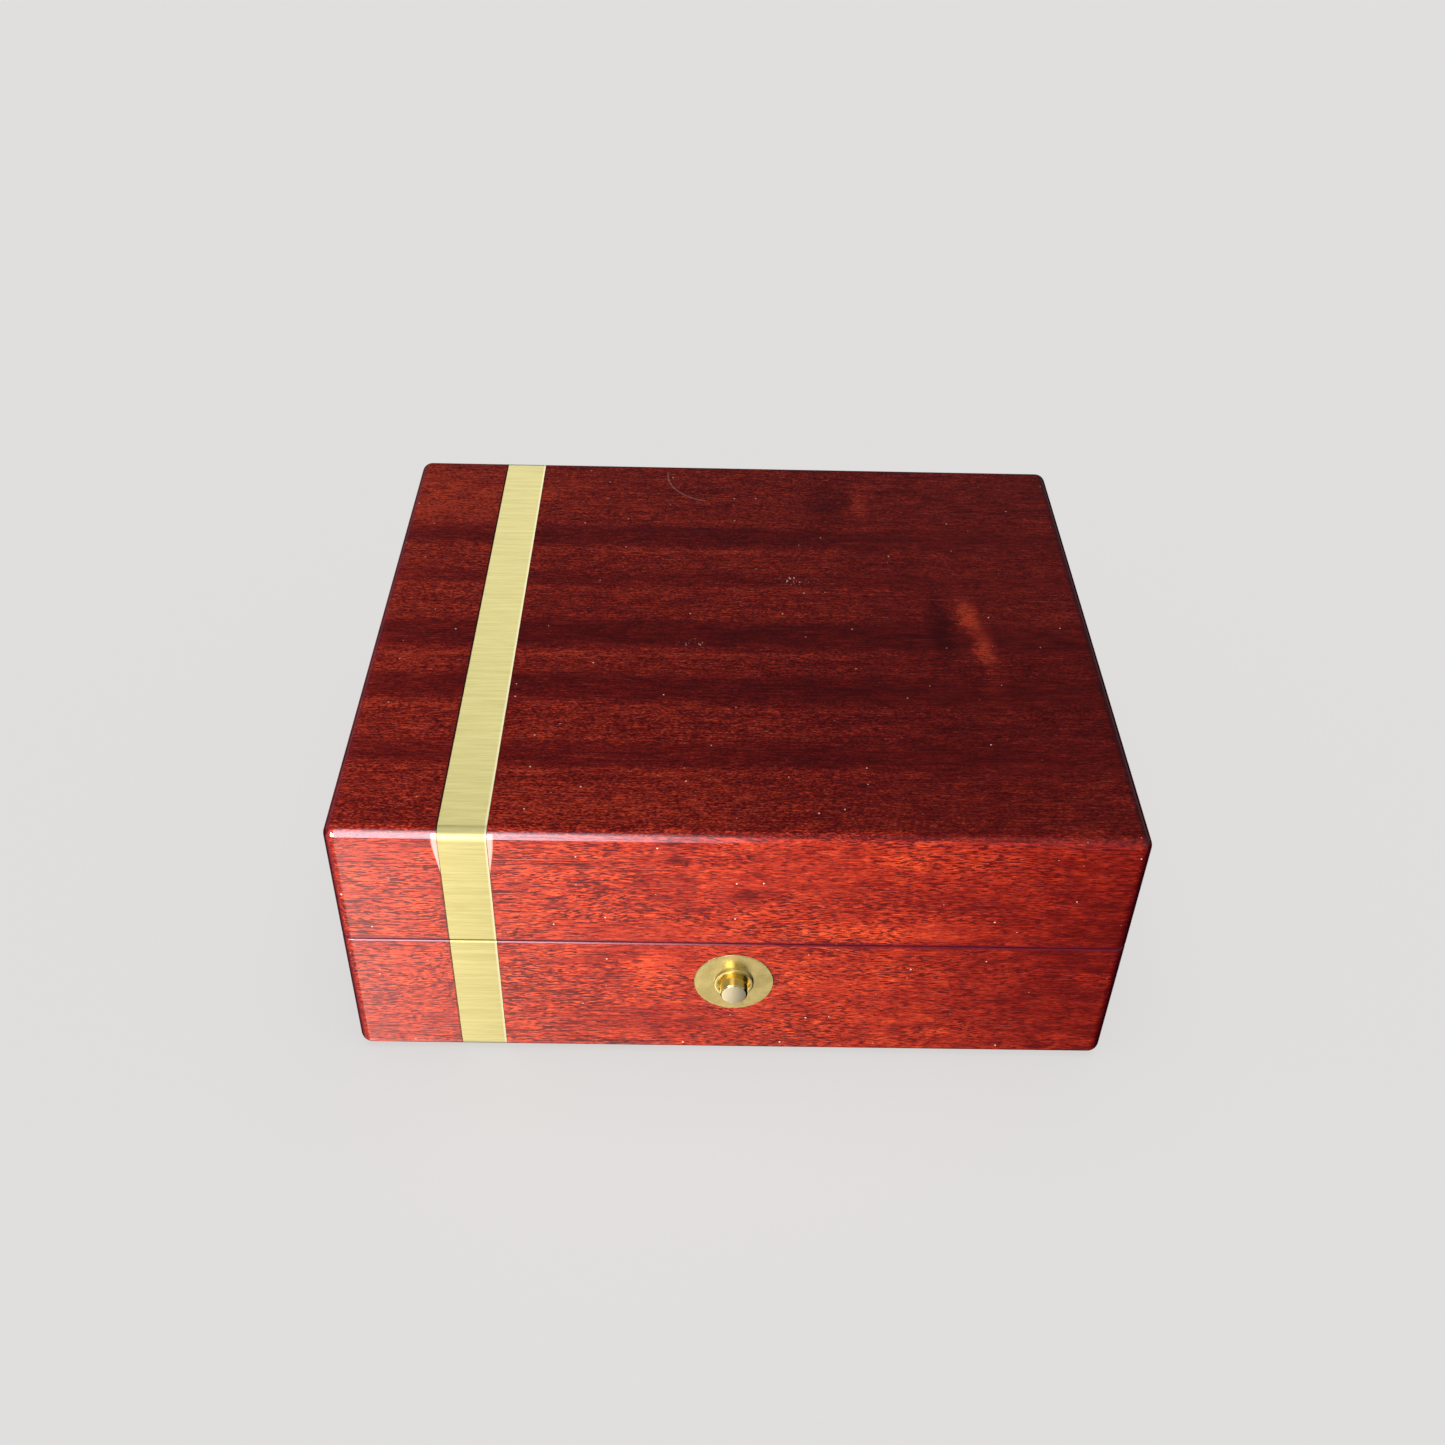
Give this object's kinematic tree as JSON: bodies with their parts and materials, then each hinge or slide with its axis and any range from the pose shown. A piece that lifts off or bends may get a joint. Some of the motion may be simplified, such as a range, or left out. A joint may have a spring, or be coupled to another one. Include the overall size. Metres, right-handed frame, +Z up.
{
  "type": "hinged wooden presentation box",
  "caption": "Low rectangular lacquered wooden box with a hinged lid, one brass band wrapped across it off centre, and a round push-button catch in front.",
  "frame": {"origin": "middle of the box's footprint, in the plane of the felt that it stands on", "axes": "+X to the right as seen from the front, +Y from the button's side to the hinges, +Z up"},
  "size_m": [0.2, 0.1818, 0.0813],
  "materials": {
    "mahogany": "red-brown mahogany under a thick, polished, clear lacquer",
    "mahogany_panel": "unlacquered floor panel, covered on both sides",
    "band_brass": "brushed across the strip, clear lacquered",
    "fitting_brass": "satin, polished on the rims",
    "button_brass": "polished",
    "catch_steel": "zinc-plated sheet",
    "spring_steel": "bright wire",
    "lining_suede": "ivory suede cloth over stiff board",
    "pad_suede": "ivory suede cloth over foam",
    "underside_felt": "dark brown felt"
  },
  "bodies": {
    "base": {"base_front_board": "mahogany", "base_back_board": "mahogany", "base_left_board": "mahogany", "base_right_board": "mahogany", "base_floor_panel": "mahogany_panel", "base_band_front": "band_brass", "base_band_back": "band_brass", "underside_felt": "underside_felt", "base_lining_front": "lining_suede", "base_lining_back": "lining_suede", "base_lining_left": "lining_suede", "base_lining_right": "lining_suede", "floor_pad": "pad_suede", "catch_escutcheon": "fitting_brass", "catch_bush": "fitting_brass", "catch_case": "fitting_brass", "catch_case_screws": "fitting_brass", "button_spring": "spring_steel", "hinge_left_base_leaf": "fitting_brass", "hinge_left_pin": "fitting_brass", "hinge_right_base_leaf": "fitting_brass", "hinge_right_pin": "fitting_brass", "hinge_base_screws": "fitting_brass"},
    "push_button": {"push_button": "button_brass", "latch_slide": "catch_steel"},
    "lid": {"lid_top_panel": "mahogany", "lid_front_board": "mahogany", "lid_back_board": "mahogany", "lid_left_board": "mahogany", "lid_right_board": "mahogany", "lid_band": "band_brass", "lid_lining_front": "lining_suede", "lid_lining_back": "lining_suede", "lid_lining_left": "lining_suede", "lid_lining_right": "lining_suede", "ceiling_pad": "pad_suede", "strike_hook": "fitting_brass", "strike_screws": "fitting_brass", "hinge_left_lid_leaf": "fitting_brass", "hinge_right_lid_leaf": "fitting_brass", "hinge_lid_screws": "fitting_brass"}
  },
  "joints": [
    {"name": "lid_hinge", "type": "hinge", "parent": "base", "child": "lid", "pos_m": [0, 0.0882, 0.0437], "axis": [-1, 0, 0], "range_deg": [0, 95]},
    {"name": "button_press", "type": "slide", "parent": "base", "child": "push_button", "axis": [0, 1, 0], "range_m": [0, 0.002], "stiffness_N_per_m": 330, "springref_m": -0.003, "deforming": ["button_spring"]}
  ]
}
